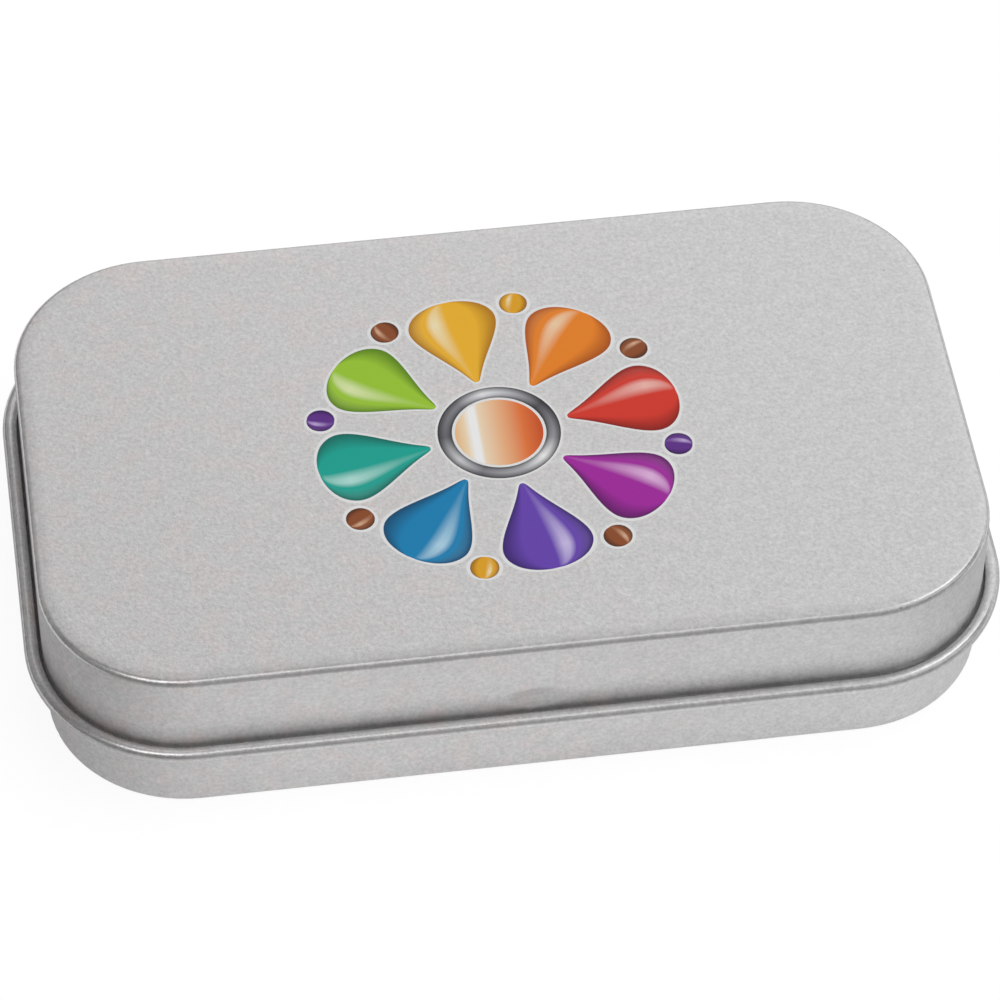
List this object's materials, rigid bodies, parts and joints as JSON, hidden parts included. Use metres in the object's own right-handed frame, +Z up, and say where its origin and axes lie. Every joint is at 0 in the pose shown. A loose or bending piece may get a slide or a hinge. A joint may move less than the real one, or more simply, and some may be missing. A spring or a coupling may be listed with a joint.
{
  "type": "storage tin",
  "caption": "Flat rectangular tinplate tin with rounded corners and a hinged slip-over lid that turns on its own curled edge.",
  "frame": {"origin": "middle of the base's flat underside, half-way along and across the skirt of the shut lid", "axes": "+X along the tin's length, +Y towards the hinge at the back, +Z up through the lid"},
  "size_m": [0.095, 0.0593, 0.018],
  "materials": {
    "base_tinplate": "satin tinplate",
    "lid_tinplate": "satin tinplate",
    "lid_print": "glossy printed ink"
  },
  "bodies": {
    "base": {"base": "base_tinplate"},
    "lid": {"lid": "lid_tinplate"}
  },
  "joints": [
    {"name": "lid_hinge", "type": "hinge", "parent": "base", "child": "lid", "pos_m": [0, 0.02877, 0.0086], "axis": [-1, 0, 0], "range_deg": [0, 110]}
  ]
}
